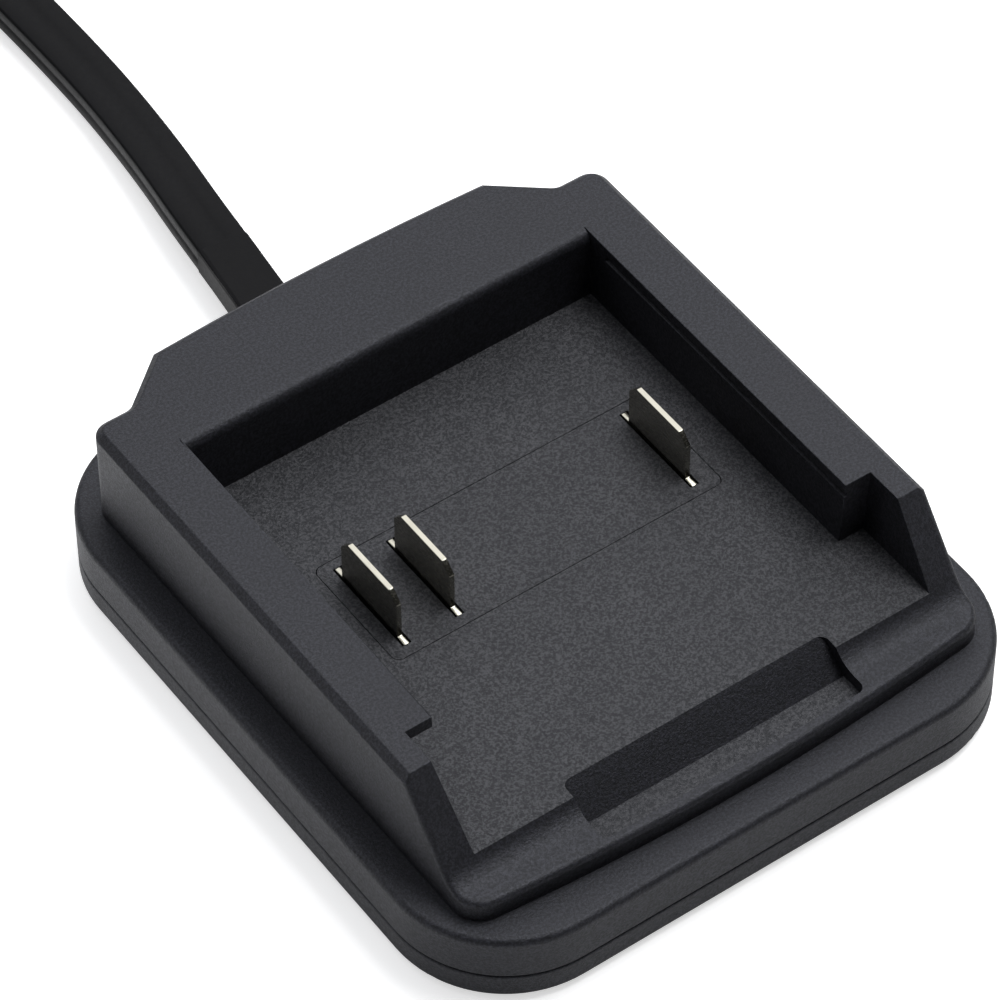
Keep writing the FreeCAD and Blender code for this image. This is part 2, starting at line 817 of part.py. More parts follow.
def coil_path():
    """Smooth line through the turns, with a straight end at each side."""
    count = round(coil_turns * coil_steps_per_turn)
    turns = [i * coil_turns / count for i in range(count + 1)]
    enter = coil_point(0) - V(0, coil_lead_in, 0)
    leave = coil_point(coil_turns) - V(0, coil_lead_out, 0)
    edges = [Part.LineSegment(enter, coil_point(0)).toShape()]
    for a, b in zip(turns, turns[1:]):
        add_biarc(edges, coil_point(a), coil_tangent(a), coil_point(b), coil_tangent(b))
    edges.append(Part.LineSegment(coil_point(coil_turns), leave).toShape())
    return Part.Wire(edges)


def add_biarc(edges, a, start_direction, b, end_direction):
    """Two arcs from a to b, tangent to both directions and to each other."""
    span = b - a
    both = start_direction + end_direction
    down = 2 * (1 - start_direction.dot(end_direction))
    half = span.dot(both)
    if down < 1e-9:
        reach = span.dot(span) / (4 * span.dot(end_direction))
    else:
        reach = (math.sqrt(half * half + down * span.dot(span)) - half) / down
    first = a + start_direction * reach
    second = b - end_direction * reach
    joint = (first + second) / 2
    add_arc(edges, a, start_direction, joint)
    add_arc(edges, b, end_direction * -1, joint, reverse=True)


def add_arc(edges, start, direction, end, reverse=False):
    """An arc that leaves start along direction and ends at end, or a line if straight."""
    chord = end - start
    side = chord - direction * chord.dot(direction)
    if side.Length < 1e-6:
        a, b = (end, start) if reverse else (start, end)
        edges.append(Part.LineSegment(a, b).toShape())
        return
    side.normalize()
    radius = chord.dot(chord) / (2 * chord.dot(side))
    centre = start + side * radius
    out = (start + chord / 2 - centre).normalize()
    middle = centre + out * radius
    a, b = (end, start) if reverse else (start, end)
    edges.append(Part.Arc(a, middle, b).toShape())


def cord_coil():
    path = coil_path()
    start = V(coil_centre[0] + coil_radius, coil_centre[1] - coil_lead_in, cord_lie)
    shape = tube(path, cord_section(start, V(0, 1, 0)), "coil", flat_area())
    print("coil length", round(path.Length, 1), "least gap to itself", round(coil_self_gap(), 2))
    return shape


def coil_self_gap():
    """The least gap between two turns, taken between their flat sections."""
    samples = 720
    line = [coil_point(i * coil_turns / samples) for i in range(samples + 1)]
    apart = samples / coil_turns * 0.6
    least = 1e9
    for i, p in enumerate(line):
        for q in line[i + int(apart):]:
            flat = math.hypot(q.x - p.x, q.y - p.y) - cord_width
            rise = abs(q.z - p.z) - cord_height
            gap = max(flat, rise) if min(flat, rise) < 0 else math.hypot(flat, rise)
            least = min(least, gap)
    return least


def cord_tie():
    """A flat strap round all the turns at one place."""
    share = tie_angle / 360
    count = int(coil_turns - share) + 1
    radii = [math.hypot(p.x - coil_centre[0], p.y - coil_centre[1])
             for p in (coil_point(k + share) for k in range(count))]
    spare = tie_clearance + cord_width / 2
    inner, outer = min(radii) - spare, max(radii) + spare
    low = cord_lie - cord_height / 2 - tie_clearance
    high = coil_top_lie + cord_height / 2 + tie_clearance
    t = tie_thickness
    outside = prism(rectangle(inner - t, outer + t, low - t, high + t, 2 * t, 0), tie_width)
    inside = prism(rectangle(inner, outer, low, high, t, 0), tie_width)
    body = outside.cut(inside)
    body.rotate(V(0, 0, 0), V(1, 0, 0), 90)
    body.translate(V(0, tie_width / 2, 0))
    body.rotate(V(0, 0, 0), V(0, 0, 1), tie_angle)
    body.translate(V(*coil_centre, 0))
    return body


def lead(side):
    """One insulated core, from the cord's end to its pad under the board."""
    pad_level = board_bottom - lead_diameter / 2
    points = [
        V(side * lead_spread, cord_inner_end, cord_axis),
        V(side * lead_spread, cord_inner_end - lead_straight, cord_axis),
        V(side * lead_pad_spread, cord_inner_end - lead_reach, pad_level),
        V(side * lead_pad_spread, board_rear - lead_on_board, pad_level),
    ]
    path = tangent_path(points, "lead")
    circle = Part.Wire(Part.makeCircle(lead_diameter / 2, points[0], V(0, -1, 0)))
    return tube(path, circle, "lead", math.pi * lead_diameter ** 2 / 4)


def cord_clamp():
    """The bar that two screws pull down on the cord."""
    width, depth, height = clamp_size
    low = clamp_bottom
    bar = slab(-width / 2, width / 2, clamp_place - depth / 2, clamp_place + depth / 2,
               low, low + height, clamp_corner_radius)
    shank, head, head_height = clamp_screw
    for side in (-1, 1):
        x = side * clamp_screw_spread
        bar = bar.cut(cylinder(x, clamp_place, low, low + height, shank + 2 * screw_clearance))
        bar = bar.cut(cylinder(x, clamp_place, low + height - head_height, low + height,
                               head + 2 * screw_clearance))
    return bar


def clamp_screw_solid(side):
    """A clamp screw, head up and flush with the bar."""
    top = clamp_bottom + clamp_size[2]
    place = (side * clamp_screw_spread, clamp_place)
    body = screw(place, 0, clamp_screw, clamp_screw_length)
    body.rotate(V(*place, 0), V(1, 0, 0), 180)
    body.translate(V(0, 0, top))
    return body


# Plug


def plug_start():
    return V(coil_centre[0] - coil_radius, coil_centre[1] - coil_lead_out, coil_top_lie)


def along_plug(offset):
    return plug_start() - V(0, offset, 0)


def plug_cylinder(offset, length, diameter):
    return Part.makeCylinder(diameter / 2, length, along_plug(offset), V(0, -1, 0))


def plug_relief():
    back = V(0, -1, 0)
    tip_radius, root_radius = plug_relief_radii
    tip = section(*plug_relief_tip, tip_radius, plug_start(), back)
    root = section(*plug_relief_root, root_radius, along_plug(plug_relief_length), back)
    body = loft(tip, root)
    half = plug_notch_width / 2
    for share in plug_notch_shares:
        y = along_plug(plug_relief_length * share).y
        for side in (-1, 1):
            x = plug_start().x + side * (plug_relief_root[0] / 2)
            x0, x1 = sorted((x, x - side * plug_notch_depth))
            body = body.cut(box(x0, x1, y - half, y + half, 0, 2 * coil_top_lie))
    return body.removeSplitter()


def plug_body():
    body = plug_cylinder(plug_relief_length, plug_body_length, plug_body_diameter)
    body = body.makeFillet(plug_body_edge_radius, [e for e in body.Edges if e.Closed])
    middle = plug_start()
    reach = plug_body_diameter / 2
    for i in range(plug_grips):
        y = middle.y - plug_relief_length - plug_grip_start - plug_grip_pitch * i
        for side in (-1, 1):
            x = middle.x + side * reach
            x0, x1 = sorted((x + side * plug_grip_overrun, x - side * plug_grip_depth))
            body = body.cut(box(x0, x1, y - plug_grip_width / 2, y + plug_grip_width / 2,
                                middle.z - reach, middle.z + reach))
    return body


def barrel_offset():
    return plug_relief_length + plug_body_length


def plug_barrel():
    tube_solid = plug_cylinder(barrel_offset(), plug_barrel_length, plug_barrel_diameter)
    return tube_solid.cut(plug_cylinder(barrel_offset(), plug_barrel_length, plug_barrel_bore))


def plug_insulator():
    length = plug_barrel_length - plug_insulator_recess
    ring = plug_cylinder(barrel_offset(), length, plug_barrel_bore)
    return ring.cut(plug_cylinder(barrel_offset(), length, plug_contact_diameter))


def plug_contact():
    length = plug_barrel_length - plug_insulator_recess
    sleeve = plug_cylinder(barrel_offset(), length, plug_contact_diameter)
    return sleeve.cut(plug_cylinder(barrel_offset() + plug_contact_floor, length, plug_bore))


def corner_name(place):
    return ("left" if place[0] < 0 else "right") + "_" + ("front" if place[1] < 0 else "rear")


def main():
    os.makedirs("parts", exist_ok=True)
    save(base_cover(), "base_cover")
    save(base_shell(), "base_shell")
    save(battery_tray(), "battery_tray")
    save(contact_block(), "contact_block")
    for name, x in zip(blade_names, blade_places):
        save(contact_blade(x), "contact_" + name)
        save(solder_joint(x), "solder_" + name)
    save(circuit_board(), "circuit_board")
    save(component(fuse_size, fuse_place), "board_fuse")
    save(component(resistor_size, resistor_place), "board_resistor")
    for place in foot_places:
        save(foot(place), "foot_" + corner_name(place))
    for place in cover_screw_places:
        bottom = cover_bottom + screw_seat_gap
        save(screw(place, bottom, cover_screw, cover_screw_length), "cover_screw_" + corner_name(place))
    for place in tray_screw_places:
        bottom = plate_bottom - tray_screw[2]
        save(screw(place, bottom, tray_screw, tray_screw_length), "tray_screw_" + corner_name(place))
    save(strain_relief(), "strain_relief")
    save(cord_inner(), "cord_inner")
    save(cord_clamp(), "cord_clamp")
    for side, name in ((-1, "left"), (1, "right")):
        save(clamp_screw_solid(side), "clamp_screw_" + name)
        save(lead(side), "lead_" + name)
    save(cord(), "cord")
    save(cord_coil(), "cord_coil")
    save(cord_tie(), "cord_tie")
    save(plug_relief(), "plug_relief")
    save(plug_body(), "plug_body")
    save(plug_barrel(), "plug_barrel")
    save(plug_insulator(), "plug_insulator")
    save(plug_contact(), "plug_contact")


main()
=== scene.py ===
import math

import bmesh
import bpy
from mathutils import Matrix, Vector


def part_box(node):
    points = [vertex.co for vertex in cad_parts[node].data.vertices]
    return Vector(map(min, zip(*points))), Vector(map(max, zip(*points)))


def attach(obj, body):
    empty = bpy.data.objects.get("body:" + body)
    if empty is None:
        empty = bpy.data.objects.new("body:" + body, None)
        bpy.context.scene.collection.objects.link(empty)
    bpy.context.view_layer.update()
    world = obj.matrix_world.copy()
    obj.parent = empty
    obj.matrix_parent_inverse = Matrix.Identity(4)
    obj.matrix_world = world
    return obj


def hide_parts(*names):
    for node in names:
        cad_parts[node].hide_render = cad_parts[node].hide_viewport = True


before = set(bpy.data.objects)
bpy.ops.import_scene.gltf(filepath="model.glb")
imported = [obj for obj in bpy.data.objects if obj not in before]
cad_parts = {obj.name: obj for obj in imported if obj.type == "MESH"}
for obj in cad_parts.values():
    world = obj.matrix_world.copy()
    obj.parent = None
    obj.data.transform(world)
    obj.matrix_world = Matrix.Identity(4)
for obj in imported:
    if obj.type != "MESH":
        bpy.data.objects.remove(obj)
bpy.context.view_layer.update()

bl_info = {
    "name": "Battery Adapter Cable",
    "version": (1, 0, 0),
    "blender": (4, 5, 0),
    "location": "3D View > Sidebar > Cradle",
    "description": "Dresses a battery cradle, its contact blades, flat cord and plug",
    "category": "Object",
}

MM = 0.001

# Corners nearer than this are one, as where the CAD's loose triangles meet
SAME_CORNER = 0.0005 * MM
# A corner nearer than this to a plane lies on it
ON_PLANE = 0.01 * MM
# Neighbouring faces that turn by less than this are one flat face
FLAT_ANGLE = math.radians(0.4)
# Edges that turn by more than this are rounded, in this number of steps
SHARP_ANGLE = math.radians(38)
ROUNDING_STEPS = 2
# Edges that turn by less than this shade smoothly
SMOOTH_ANGLE = math.radians(34)


def linear(code):
    """Turn an sRGB hex colour into Blender's linear red, green and blue."""
    parts = [int(code[place:place + 2], 16) / 255 for place in (1, 3, 5)]
    return tuple(
        part / 12.92 if part <= 0.04045 else ((part + 0.055) / 1.055) ** 2.4
        for part in parts
    )


def length(label, text, value, low=0.0):
    """A size that a user can change, given here in millimetres."""
    return bpy.props.FloatProperty(
        name=label, description=text, default=value * MM, min=low, precision=5,
        unit="LENGTH",
    )


def colour(label, text, code):
    """A colour that a user can change."""
    return bpy.props.FloatVectorProperty(
        name=label, description=text, default=linear(code), size=3, min=0.0,
        max=1.0, subtype="COLOR",
    )


class CradleSizes(bpy.types.PropertyGroup):
    """Sizes of the finish: edge radii, grain and the cord's section."""

    tray_edge: length("Tray edge", "Radius on the tray's moulded edges", 0.12)
    base_edge: length("Base edge", "Radius on the base's moulded edges", 0.12)
    blade_edge: length("Blade edge", "Radius left by stamping the blades", 0.07)
    blade_slot: length("Blade slot", "Gap that shows beside each blade", 0.16)
    sleeve_edge: length("Sleeve edge", "Radius on the strain relief", 0.04)
    plug_edge: length("Plug edge", "Radius on the ends of the plug's body", 0.2)
    grip_edge: length("Grip edge", "Radius on the plug's close-set grip slots", 0.05)
    fine_grain: length("Fine grain", "Grain of the outer eroded faces", 0.3)
    floor_grain: length("Floor grain", "Grain of the bay floor", 0.3)
    cord_width: length("Cord width", "Width of the flat cord", 5.7)
    cord_height: length("Cord height", "Height of the flat cord", 3.4)
    cord_corner: length("Cord corner", "Corner radius of the flat cord", 0.3)
    cord_groove: length("Cord groove", "Depth of the grooves between its cores", 0.14)


class CradleColours(bpy.types.PropertyGroup):
    """Colours of the materials."""

    housing: colour("Housing", "Black moulded plastic", "#101014")
    worn: colour("Bay floor", "The same plastic where batteries rub it", "#232324")
    cord: colour("Cord", "Black cord jacket", "#0d0d0f")
    plating: colour("Plating", "Nickel on the contacts", "#b4b1a4")
    board: colour("Board", "Green solder mask", "#1d5a3a")
    floor: colour("Floor", "Table that the cradle stands on", "#e9e9e9")


def sizes():
    """The sizes that the scene holds now."""
    return bpy.context.scene.cradle_sizes


def colours():
    """The colours that the scene holds now."""
    return bpy.context.scene.cradle_colours


# Materials


def start_material(name):
    """A new material with an empty node tree."""
    material = bpy.data.materials.new(name)
    material.use_nodes = True
    material.node_tree.nodes.clear()
    return material


def add_node(owner, kind, inputs=None, **settings):
    """Add a node to a material or a world, and fill its sockets from values or links."""
    tree = owner.node_tree
    node = tree.nodes.new(kind)
    for key, value in settings.items():
        setattr(node, key, value)
    for key, value in (inputs or {}).items():
        if isinstance(value, bpy.types.NodeSocket):
            tree.links.new(value, node.inputs[key])
        else:
            node.inputs[key].default_value = value
    return node


def eroded_plastic(name, grain, tint, relief, grain_and_glint_contrast, sheen=0.5):
    """Black ABS from a spark-eroded tool: matt, with pits that break up its sheen."""
    material = start_material(name)
    place = add_node(material, "ShaderNodeTexCoord").outputs["Object"]
    # Pits about one grain wide, with finer ones in them
    pits = add_node(material, "ShaderNodeTexNoise", {
        "Vector": place, "Scale": 1 / grain, "Detail": 3.0, "Roughness": 0.85,
    })
    # Sharp crumbs left between the pits catch single points of light
    crumbs = add_node(material, "ShaderNodeTexNoise", {
        "Vector": place, "Scale": 1.5 / grain, "Detail": 1.0, "Roughness": 0.7,
    })
    # Slow drift of tone, nine millimetres wide, as wear and handling leave
    drift = add_node(material, "ShaderNodeTexNoise", {
        "Vector": place, "Scale": 1 / (9 * MM), "Detail": 2.0, "Roughness": 0.5,
    })
    # A narrow step between two tones, so that the grain looks sandy; its lighter flecks
    # are partly grain tone and partly painted glints
    tone = add_node(material, "ShaderNodeValToRGB", {"Fac": pits.outputs["Fac"]})
    tone.color_ramp.elements[0].position = 0.46
    tone.color_ramp.elements[0].color = (*[c * (1 - grain_and_glint_contrast) for c in tint], 1)
    tone.color_ramp.elements[1].position = 0.57
    tone.color_ramp.elements[1].color = (*[c * (1 + 1.6 * grain_and_glint_contrast) for c in tint], 1)
    shade = add_node(material, "ShaderNodeMapRange", {
        "Value": drift.outputs["Fac"], "From Min": 0.3, "From Max": 0.7,
        "To Min": 0.88, "To Max": 1.12,
    })
    base = add_node(material, "ShaderNodeVectorMath", {
        0: tone.outputs["Color"], "Scale": shade.outputs["Result"],
    }, operation="SCALE")
    rough = add_node(material, "ShaderNodeMapRange", {
        "Value": pits.outputs["Fac"], "From Min": 0.3, "From Max": 0.7,
        "To Min": 0.62, "To Max": 0.48,
    })
    height = add_node(material, "ShaderNodeMath", {
        0: crumbs.outputs["Fac"], 1: 0.6, 2: pits.outputs["Fac"],
    }, operation="MULTIPLY_ADD")
    bump = add_node(material, "ShaderNodeBump", {
        "Height": height.outputs["Value"], "Strength": 1.0, "Distance": relief,
    })
    shader = add_node(material, "ShaderNodeBsdfPrincipled", {
        "Base Color": base.outputs["Vector"], "Roughness": rough.outputs["Result"],
        "Normal": bump.outputs["Normal"], "IOR": 1.54,
        "Specular IOR Level": sheen, "Specular Tint": (0.9, 0.92, 1.0, 1),
    })
    add_node(material, "ShaderNodeOutputMaterial", {
        "Surface": shader.outputs["BSDF"],
    })
    return material


def soft_vinyl(name, tint, roughness, grain, relief, sheen=0.5):
    """Flexible PVC: satin and slightly uneven from the extruder or the mould."""
    material = start_material(name)
    place = add_node(material, "ShaderNodeTexCoord").outputs["Object"]
    skin = add_node(material, "ShaderNodeTexNoise", {
        "Vector": place, "Scale": 1 / grain, "Detail": 3.0, "Roughness": 0.55,
    })
    # Slow drift of tone, fourteen millimetres wide
    swell = add_node(material, "ShaderNodeTexNoise", {
        "Vector": place, "Scale": 1 / (14 * MM), "Detail": 1.0,
    })
    tone = add_node(material, "ShaderNodeMix", {
        0: swell.outputs["Fac"], 6: (*[c * 0.86 for c in tint], 1),
        7: (*[min(1, c * 1.16) for c in tint], 1),
    }, data_type="RGBA")
    rough = add_node(material, "ShaderNodeMapRange", {
        "Value": skin.outputs["Fac"], "From Min": 0.3, "From Max": 0.7,
        "To Min": roughness + 0.05, "To Max": roughness - 0.05,
    })
    bump = add_node(material, "ShaderNodeBump", {
        "Height": skin.outputs["Fac"], "Strength": 0.7, "Distance": relief,
    })
    shader = add_node(material, "ShaderNodeBsdfPrincipled", {
        "Base Color": tone.outputs[2], "Roughness": rough.outputs["Result"],
        "Normal": bump.outputs["Normal"], "IOR": 1.53, "Specular IOR Level": sheen,
    })
    add_node(material, "ShaderNodeOutputMaterial", {
        "Surface": shader.outputs["BSDF"],
    })
    return material


def bright_metal(name, tint, roughness, streak):
    """Plated or bare metal: fine drawn streaks along Y widen its highlight."""
    material = start_material(name)
    place = add_node(material, "ShaderNodeTexCoord").outputs["Object"]
    # Streaks ten times as long as wide
    stretch = add_node(material, "ShaderNodeMapping", {
        "Vector": place, "Scale": (1.0, 0.1, 1.0),
    })
    streaks = add_node(material, "ShaderNodeTexNoise", {
        "Vector": stretch.outputs["Vector"], "Scale": 1 / streak, "Detail": 2.0,
    })
    tarnish = add_node(material, "ShaderNodeTexNoise", {
        "Vector": place, "Scale": 1 / (2.4 * MM), "Detail": 2.0,
    })
    tone = add_node(material, "ShaderNodeMix", {
        0: tarnish.outputs["Fac"], 6: (*[c * 0.8 for c in tint], 1),
        7: (*[min(1, c * 1.1) for c in tint], 1),
    }, data_type="RGBA")
    rough = add_node(material, "ShaderNodeMapRange", {
        "Value": streaks.outputs["Fac"], "From Min": 0.3, "From Max": 0.7,
        "To Min": roughness - 0.06, "To Max": roughness + 0.08,
    })
    bump = add_node(material, "ShaderNodeBump", {
        "Height": streaks.outputs["Fac"], "Strength": 0.35, "Distance": 0.006 * MM,
    })
    shader = add_node(material, "ShaderNodeBsdfPrincipled", {
        "Base Color": tone.outputs[2], "Metallic": 1.0,
        "Roughness": rough.outputs["Result"], "Normal": bump.outputs["Normal"],
    })
    add_node(material, "ShaderNodeOutputMaterial", {
        "Surface": shader.outputs["BSDF"],
    })
    return material


# How much lighter the outer faces are than the housing's colour
OUTER_LIFT = 1.2


def finish(name):
    """Make a finish the first time that it is asked for, and share it afterwards."""
    if name in bpy.data.materials:
        return bpy.data.materials[name]
    shades, size = colours(), sizes()
    makers = {
        "eroded_abs_fine": lambda: eroded_plastic(
            name, size.fine_grain, [OUTER_LIFT * c for c in shades.housing],
            relief=0.06 * MM, grain_and_glint_contrast=0.85, sheen=0.42),
        "eroded_abs_floor": lambda: eroded_plastic(
            name, size.floor_grain, shades.worn, relief=0.12 * MM, grain_and_glint_contrast=0.9),
        "cord_vinyl": lambda: soft_vinyl(
            name, shades.cord, roughness=0.42, grain=0.5 * MM, relief=0.02 * MM,
            sheen=0.075),
        "sleeve_vinyl": lambda: soft_vinyl(
            name, shades.cord, roughness=0.42, grain=0.35 * MM, relief=0.03 * MM,
            sheen=0.075),
        "plug_vinyl": lambda: soft_vinyl(
            name, shades.cord, roughness=0.4, grain=0.4 * MM, relief=0.02 * MM),
        "foot_rubber": lambda: soft_vinyl(
            name, linear("#2b2b2c"), roughness=0.75, grain=0.3 * MM, relief=0.03 * MM),
        "lead_red_vinyl": lambda: soft_vinyl(
            name, linear("#9c1f1c"), roughness=0.38, grain=0.4 * MM, relief=0.01 * MM),
        "lead_black_vinyl": lambda: soft_vinyl(
            name, linear("#161617"), roughness=0.38, grain=0.4 * MM, relief=0.01 * MM),
        "tie_nylon": lambda: soft_vinyl(
            name, linear("#2a2b2e"), roughness=0.6, grain=0.3 * MM, relief=0.06 * MM),
        "insulator_pbt": lambda: soft_vinyl(
            name, linear("#c9c6bc"), roughness=0.45, grain=0.4 * MM, relief=0.01 * MM),
        "solder_mask": lambda: soft_vinyl(
            name, shades.board, roughness=0.3, grain=0.8 * MM, relief=0.01 * MM),
        "component_ceramic": lambda: soft_vinyl(
            name, linear("#3b332c"), roughness=0.35, grain=0.2 * MM, relief=0.01 * MM),
        "nickel_plate": lambda: bright_metal(
            name, shades.plating, roughness=0.22, streak=0.12 * MM),
        "tin_solder": lambda: bright_metal(
            name, linear("#b9bcc0"), roughness=0.34, streak=0.3 * MM),
        "zinc_steel": lambda: bright_metal(
            name, linear("#9a9c9e"), roughness=0.36, streak=0.15 * MM),
    }
    return makers[name]()


# Shared steps


def choose(*pieces):
    """Select only these, the first one active."""
    bpy.ops.object.select_all(action="DESELECT")
    for piece in pieces:
        piece.select_set(True)
    bpy.context.view_layer.objects.active = pieces[0]


def merged_copy(node, name):
    """Copy a CAD node's mesh, and join its triangles into whole faces."""
    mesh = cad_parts[node].data.copy()
    mesh.materials.clear()
    piece = bpy.data.objects.new(name, mesh)
    bpy.context.collection.objects.link(piece)
    choose(piece)
    if mesh.has_custom_normals:
        bpy.ops.mesh.customdata_custom_splitnormals_clear()
    bpy.ops.object.mode_set(mode="EDIT")
    bpy.ops.mesh.select_all(action="SELECT")
    bpy.ops.mesh.remove_doubles(threshold=SAME_CORNER)
    bpy.ops.mesh.dissolve_limited(angle_limit=FLAT_ANGLE)
    bpy.ops.object.mode_set(mode="OBJECT")
    return piece


def everywhere(start, end):
    """The choice that leaves out no edge."""
    return True


def round_edges(piece, radius, where=everywhere):
    """Break the sharp edges as the mould does, so that each catches a line of light."""
    choose(piece)
    bpy.ops.object.mode_set(mode="EDIT")
    bpy.ops.mesh.select_mode(type="EDGE")
    bpy.ops.mesh.select_all(action="DESELECT")
    shape = bmesh.from_edit_mesh(piece.data)
    for edge in shape.edges:
        if len(edge.link_faces) == 2 and where(edge.verts[0].co, edge.verts[1].co):
            edge.select_set(edge.calc_face_angle() > SHARP_ANGLE)
    bmesh.update_edit_mesh(piece.data)
    bpy.ops.mesh.bevel(
        offset=radius, segments=ROUNDING_STEPS, affect="EDGES", clamp_overlap=False)
    bpy.ops.mesh.select_all(action="DESELECT")
    bpy.ops.object.mode_set(mode="OBJECT")
    bpy.ops.object.shade_smooth_by_angle(angle=SMOOTH_ANGLE)
    # Flat faces shade flat, and the roundings bend between them
    bpy.ops.object.modifier_add(type="WEIGHTED_NORMAL")
    weight = piece.modifiers[-1]
    weight.keep_sharp = True
    weight.weight = 80
    bpy.ops.object.modifier_apply(modifier=weight.name)


def set_finish(piece, *names):
    """Give a piece its finishes, in the order of its faces' material numbers."""
    piece.data.materials.clear()
    for name in names:
        piece.data.materials.append(finish(name))


def place_piece(piece, slot, *nodes):
    """Fix a finished piece to the body in place of its CAD nodes."""
    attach(piece, "root")
    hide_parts(*nodes)


def dress_nodes(name, *nodes):
    """Give CAD nodes that keep their own shape a finish."""
    for node in nodes:
        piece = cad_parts[node]
        piece.data.materials.clear()
        piece.data.materials.append(finish(name))


# The cord's line: the same points as in the CAD, in millimetres
CORD_EXIT = (1.386, 56.928, 4.0)
CORD_START = (1.05, 54.0, 4.05)
CORD_LEAD = (
    (2.038, 63.194, 4.0), (3.55, 72.6, 3.25), (4.75, 83.5, 2.35), (5.0, 92.0, 2.2),
    (4.9, 101.5, 2.2), (4.6, 113.0, 2.2), (4.6, 125.0, 2.2),
)
COIL_CENTRE = (-29.0, 131.0)
COIL_RADIUS = 33.6
COIL_TURNS = 3.5
COIL_PITCH = 6.2
COIL_BOTTOM = 2.2
COIL_RISE = 3.9
COIL_STEP_IN = 1.8
COIL_CHANGE = 0.25
COIL_POINTS = 24
PLUG_START = (-62.6, 111.0, 6.1)
# Where along Y the cord's straight end starts and stops, behind and inside the plug
PLUG_RUN = (121.0, 108.0)

# The base's wall, in millimetres as all that follows unless it says otherwise
BASE_WALL = 2.0
# How far the latch pocket's level strip lies under the bay floor, as in the CAD
POCKET_STRIP_DEPTH = 2.95
# A face of the bay's floor lies this near its level, and its normal's Z is above this
LEVEL_REACH = 0.2
FACES_UP = 0.99
# The bay floor's reach from the tray's middle, as a share of the tray's width
BAY_REACH = 0.45
# The tray's edges are rounded from this height above the bay floor
ROUNDED_FROM = 1.0
# The corners of a blade's slot lie this near the blade's box
SLOT_REACH = 0.15
# The sleeve's flare starts this far behind the base, and is shaped at these
# shares of the way to its tip
FLARE_ROOT = 0.4
FLARE_STATIONS = (0.12, 0.25, 0.4, 0.6, 0.8, 0.97)
# Corners nearer than this to the cord belong to the sleeve's hole
HOLE_REACH = 0.06
# How far the sleeve's tip stands off the cord, across and up
TIP_WALL = (0.08, 0.1)


def eased(share):
    """A smooth step from 0 to 1."""
    share = min(1.0, max(0.0, share))
    return share * share * (3 - 2 * share)


def coil_point(turn):
    """A point on the coil: wound in on the table, and back out on a second layer."""
    half = COIL_TURNS / 2
    from_middle = abs(turn - half)
    step = eased(1 - (from_middle - COIL_CHANGE / 2) / COIL_CHANGE)
    climb = eased((turn - half + COIL_CHANGE / 2) / COIL_CHANGE)
    radius = COIL_RADIUS - COIL_PITCH * (half - from_middle) - COIL_STEP_IN * step
    angle = 2 * math.pi * turn
    return (
        COIL_CENTRE[0] + radius * math.cos(angle),
        COIL_CENTRE[1] + radius * math.sin(angle),
        COIL_BOTTOM + COIL_RISE * climb,
    )


class OBJECT_OT_cradle_cord(bpy.types.Operator):
    """Lay the flat cord from the sleeve into its tied coil and up to the plug"""

    bl_idname = "object.cradle_cord"
    bl_label = "Flat Cord"

    def execute(self, context):
        size = sizes()
        across, up = size.cord_width / 2, size.cord_height / 2
        corner, groove = size.cord_corner, size.cord_groove
        # Half of the section, from the top's middle round to the bottom's middle:
        # a shallow valley between the two cores, and a groove along each side
        valley, crown, rise = 0.22 * across, 0.4 * across, 0.2 * groove
        mouth, bed, depth = 0.16 * up, 0.08 * up, 0.9 * groove
        # A round corner's middle lies about this share of its radius in
        cut = 0.3 * corner
        right = [
            (0.0, up - groove), (valley, up - rise), (crown, up),
            (across - corner, up), (across - cut, up - cut), (across, up - corner),
            (across, mouth), (across - depth, bed),
            (across - depth, -bed), (across, -mouth),
            (across, -up + corner), (across - cut, -up + cut), (across - corner, -up),
            (crown, -up), (valley, -up + rise),
        ]
        outline = right + [(0.0, -up + groove)] + [(-x, y) for x, y in right[:0:-1]]
        profile = bpy.data.curves.new("cord_section", "CURVE")
        profile.dimensions = "2D"
        ring = profile.splines.new("POLY")
        ring.points.add(len(outline) - 1)
        for point, (x, y) in zip(ring.points, outline):
            point.co = (x, y, 0.0, 1.0)
        ring.use_cyclic_u = True
        section = bpy.data.objects.new("cord_section", profile)
        context.collection.objects.link(section)
        section.hide_render = True

        turns = int(COIL_TURNS * COIL_POINTS)
        points = [CORD_START, CORD_EXIT, *CORD_LEAD]
        points += [coil_point(step / COIL_POINTS) for step in range(turns + 1)]
        points += [(PLUG_START[0], PLUG_RUN[0], PLUG_START[2]), PLUG_START,
                   (PLUG_START[0], PLUG_RUN[1], PLUG_START[2])]
        line = bpy.data.curves.new("flat_cord", "CURVE")
        line.dimensions = "3D"
        spline = line.splines.new("NURBS")
        spline.points.add(len(points) - 1)
        for point, place in zip(spline.points, points):
            point.co = (*[part * MM for part in place], 1.0)
        spline.order_u = 3
        spline.use_endpoint_u = True
        spline.resolution_u = 6
        spline.use_smooth = True
        line.twist_mode = "Z_UP"
        line.bevel_mode = "OBJECT"
        line.bevel_object = section
        line.use_fill_caps = True
        cord = bpy.data.objects.new("flat_cord", line)
        context.collection.objects.link(cord)
        cord.data.materials.append(finish("cord_vinyl"))
        place_piece(cord, "cord_jacket", "cord", "cord_coil")
        return {"FINISHED"}


